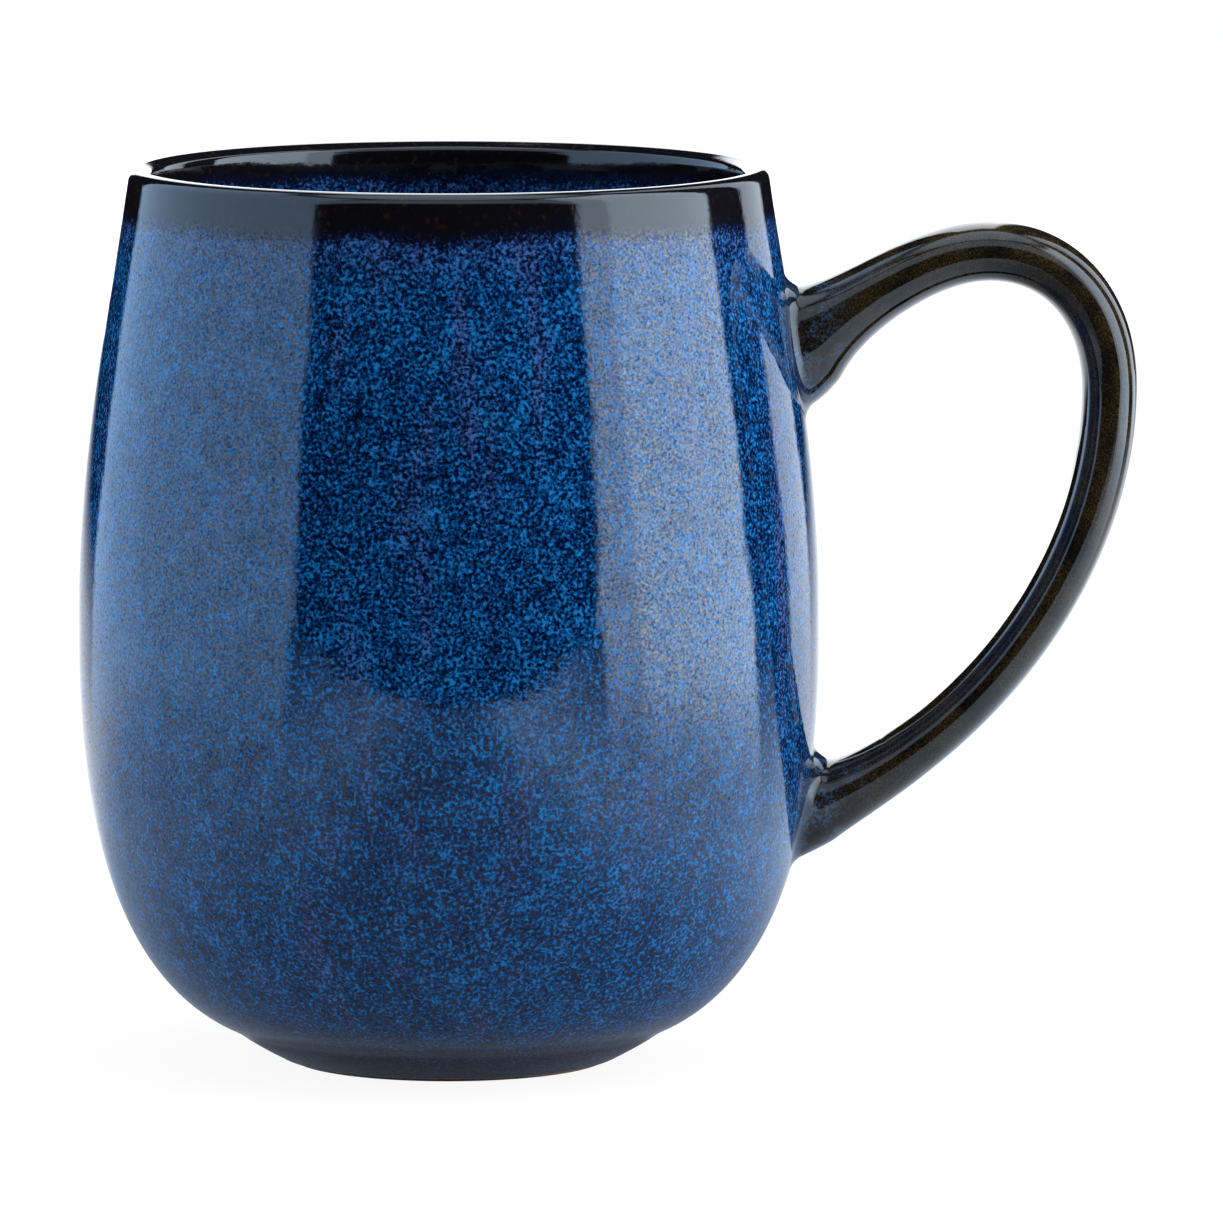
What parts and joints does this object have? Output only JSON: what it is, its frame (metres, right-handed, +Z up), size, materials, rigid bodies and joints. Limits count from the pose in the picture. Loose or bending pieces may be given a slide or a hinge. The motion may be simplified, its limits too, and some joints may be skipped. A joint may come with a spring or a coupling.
{
  "type": "mug",
  "caption": "Barrel-shaped glazed stoneware mug with a rounded lip, a small foot ring and a curved strap handle.",
  "frame": {"origin": "centre of the foot ring's standing face, on the table and on the cup's axis", "axes": "+Z up along the cup's axis, +X from the axis towards the handle, +Y across the handle's plane"},
  "size_m": [0.1297, 0.0908, 0.11],
  "materials": {
    "stoneware": "bare fired stoneware, matte, fine gritty grain",
    "joining_slip": "fired joining slip, matte, smooth",
    "blue_glaze": "glossy reactive blue glaze with fine mottled flecks",
    "dark_glaze": "glossy brown-black glaze with amber flecks",
    "slate_glaze": "glossy dark slate glaze where the blue runs thin"
  },
  "bodies": {
    "root": {"cup_body": "stoneware", "handle": "stoneware", "upper_joint_slip": "joining_slip", "lower_joint_slip": "joining_slip", "outer_glaze": "blue_glaze", "inner_glaze": "blue_glaze", "rim_glaze": "dark_glaze", "handle_glaze": "dark_glaze", "foot_glaze": "slate_glaze", "underside_glaze": "slate_glaze"}
  },
  "joints": []
}
